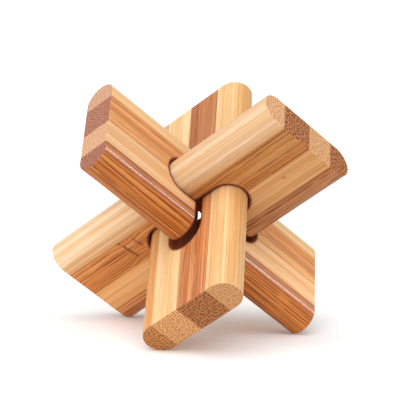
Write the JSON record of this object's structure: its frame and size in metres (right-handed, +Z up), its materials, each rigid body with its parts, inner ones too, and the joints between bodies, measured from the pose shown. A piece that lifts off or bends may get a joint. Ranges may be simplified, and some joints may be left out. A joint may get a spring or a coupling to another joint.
{
  "type": "interlocking bar puzzle",
  "caption": "Wooden burr puzzle of flat laminated bamboo bars with rounded edges, held at right angles through each other's windows.",
  "frame": {"origin": "on the surface it stands on, under the point where the three bars cross", "axes": "+Z up through the crossing point, -Y faces the viewer on the side where the plain bar comes down, +X to the viewer's right"},
  "size_m": [0.0445, 0.045, 0.0377],
  "materials": {
    "light_bamboo": "satin varnish over natural bamboo, fine lengthwise grain",
    "dark_bamboo": "satin varnish over heat-darkened bamboo, fine lengthwise grain"
  },
  "bodies": {
    "key_bar": {"key_light_edge": "light_bamboo", "key_dark_inner": "dark_bamboo", "key_light_inner_upper": "light_bamboo", "key_light_inner_lower": "light_bamboo", "key_dark_edge_upper": "dark_bamboo", "key_dark_edge_lower": "dark_bamboo"},
    "slotted_bar": {"slotted_light_edge": "light_bamboo", "slotted_dark_inner": "dark_bamboo", "slotted_light_inner_upper": "light_bamboo", "slotted_light_inner_lower": "light_bamboo", "slotted_dark_edge_upper": "dark_bamboo", "slotted_dark_edge_lower": "dark_bamboo"},
    "plain_bar": {"plain_light_edge": "light_bamboo", "plain_dark_inner": "dark_bamboo", "plain_light_inner": "light_bamboo", "plain_dark_edge": "dark_bamboo"}
  },
  "joints": [
    {"name": "key_bar_slide", "type": "slide", "parent": "slotted_bar", "child": "key_bar", "axis": [-0.7071, -0.4082, 0.5774], "range_m": [0, 0.0108]},
    {"name": "plain_bar_slide", "type": "slide", "parent": "slotted_bar", "child": "plain_bar", "axis": [0, -0.8165, -0.5773], "range_m": [-0.0011, 0.0001]}
  ]
}
